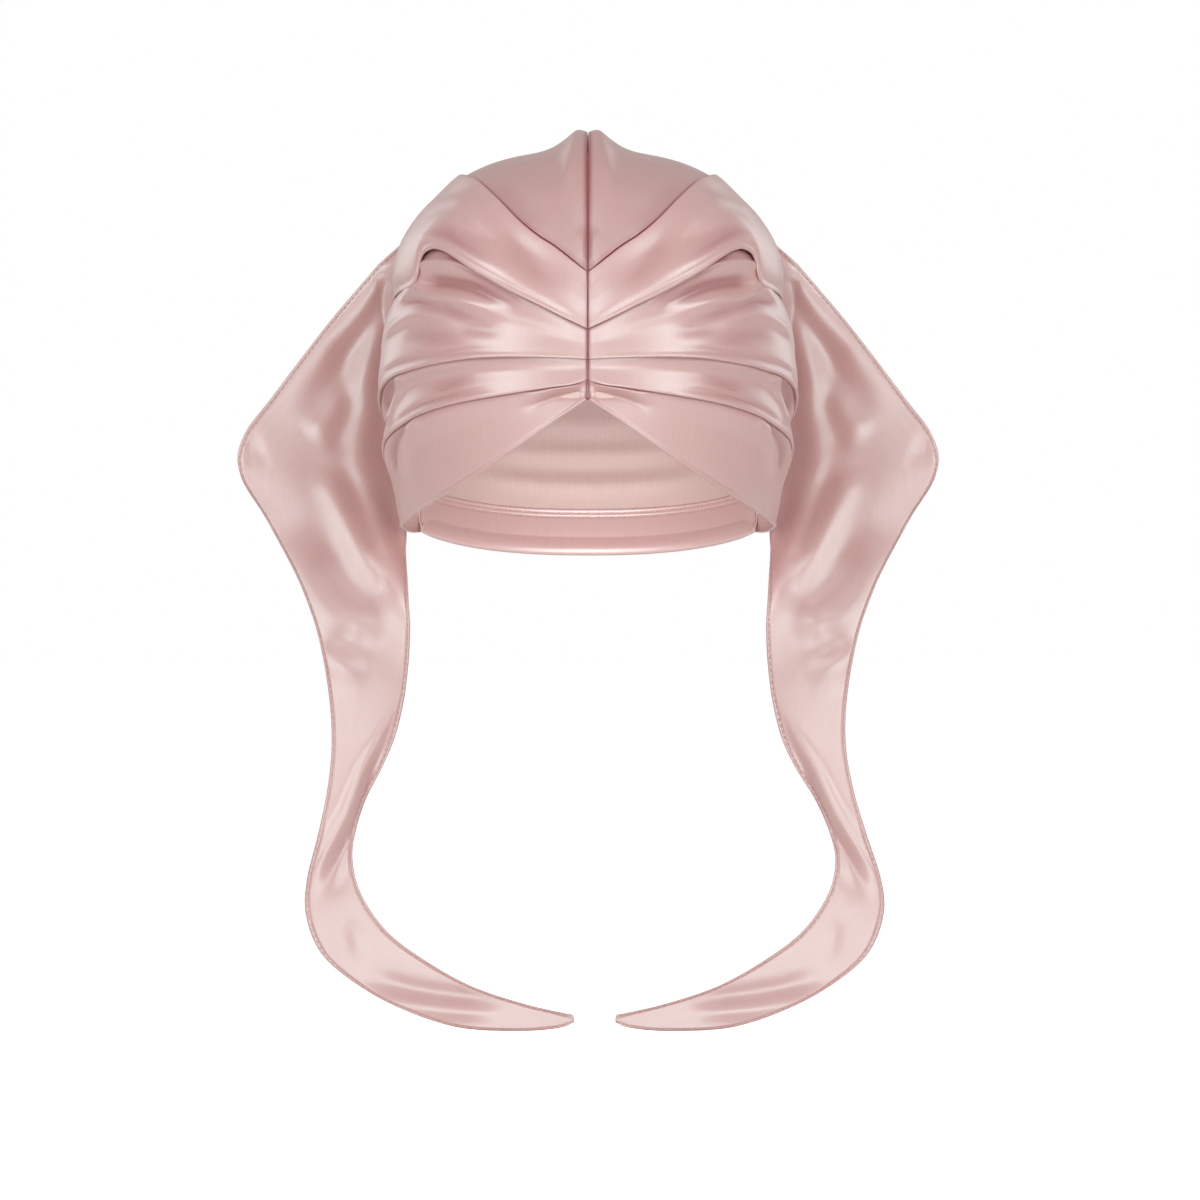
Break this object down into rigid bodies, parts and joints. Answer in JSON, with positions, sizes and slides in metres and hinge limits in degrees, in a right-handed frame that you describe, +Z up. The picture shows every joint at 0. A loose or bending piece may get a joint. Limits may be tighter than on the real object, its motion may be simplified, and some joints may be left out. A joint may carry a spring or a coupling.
{
  "type": "turban headwrap",
  "caption": "Pleated satin turban headwrap with a centre-front gather, an open nape hem and long tapered ties hanging from its side seams.",
  "frame": {"origin": "middle of the head opening, level with the temples and with the lower ends of the side seams", "axes": "+Z up through the crown, -Y out of the brow, +X towards the right tie as seen from the front"},
  "size_m": [0.3178, 0.1995, 0.405],
  "materials": {
    "satin_wrap": "glossy polyester satin, shiny side out",
    "satin_crown": "glossy polyester satin, grain turned to the centre seam",
    "satin_back": "glossy satin outside, duller beige reverse inside",
    "satin_hem": "turned satin hem, shiny side in",
    "satin_tie": "glossy double satin with edge topstitching"
  },
  "bodies": {
    "root": {"wrap_left": "satin_wrap", "wrap_right": "satin_wrap", "crown_gore_left": "satin_crown", "crown_gore_right": "satin_crown", "back_panel": "satin_back", "nape_hem": "satin_hem", "tie_left": "satin_tie", "tie_right": "satin_tie"}
  },
  "joints": []
}
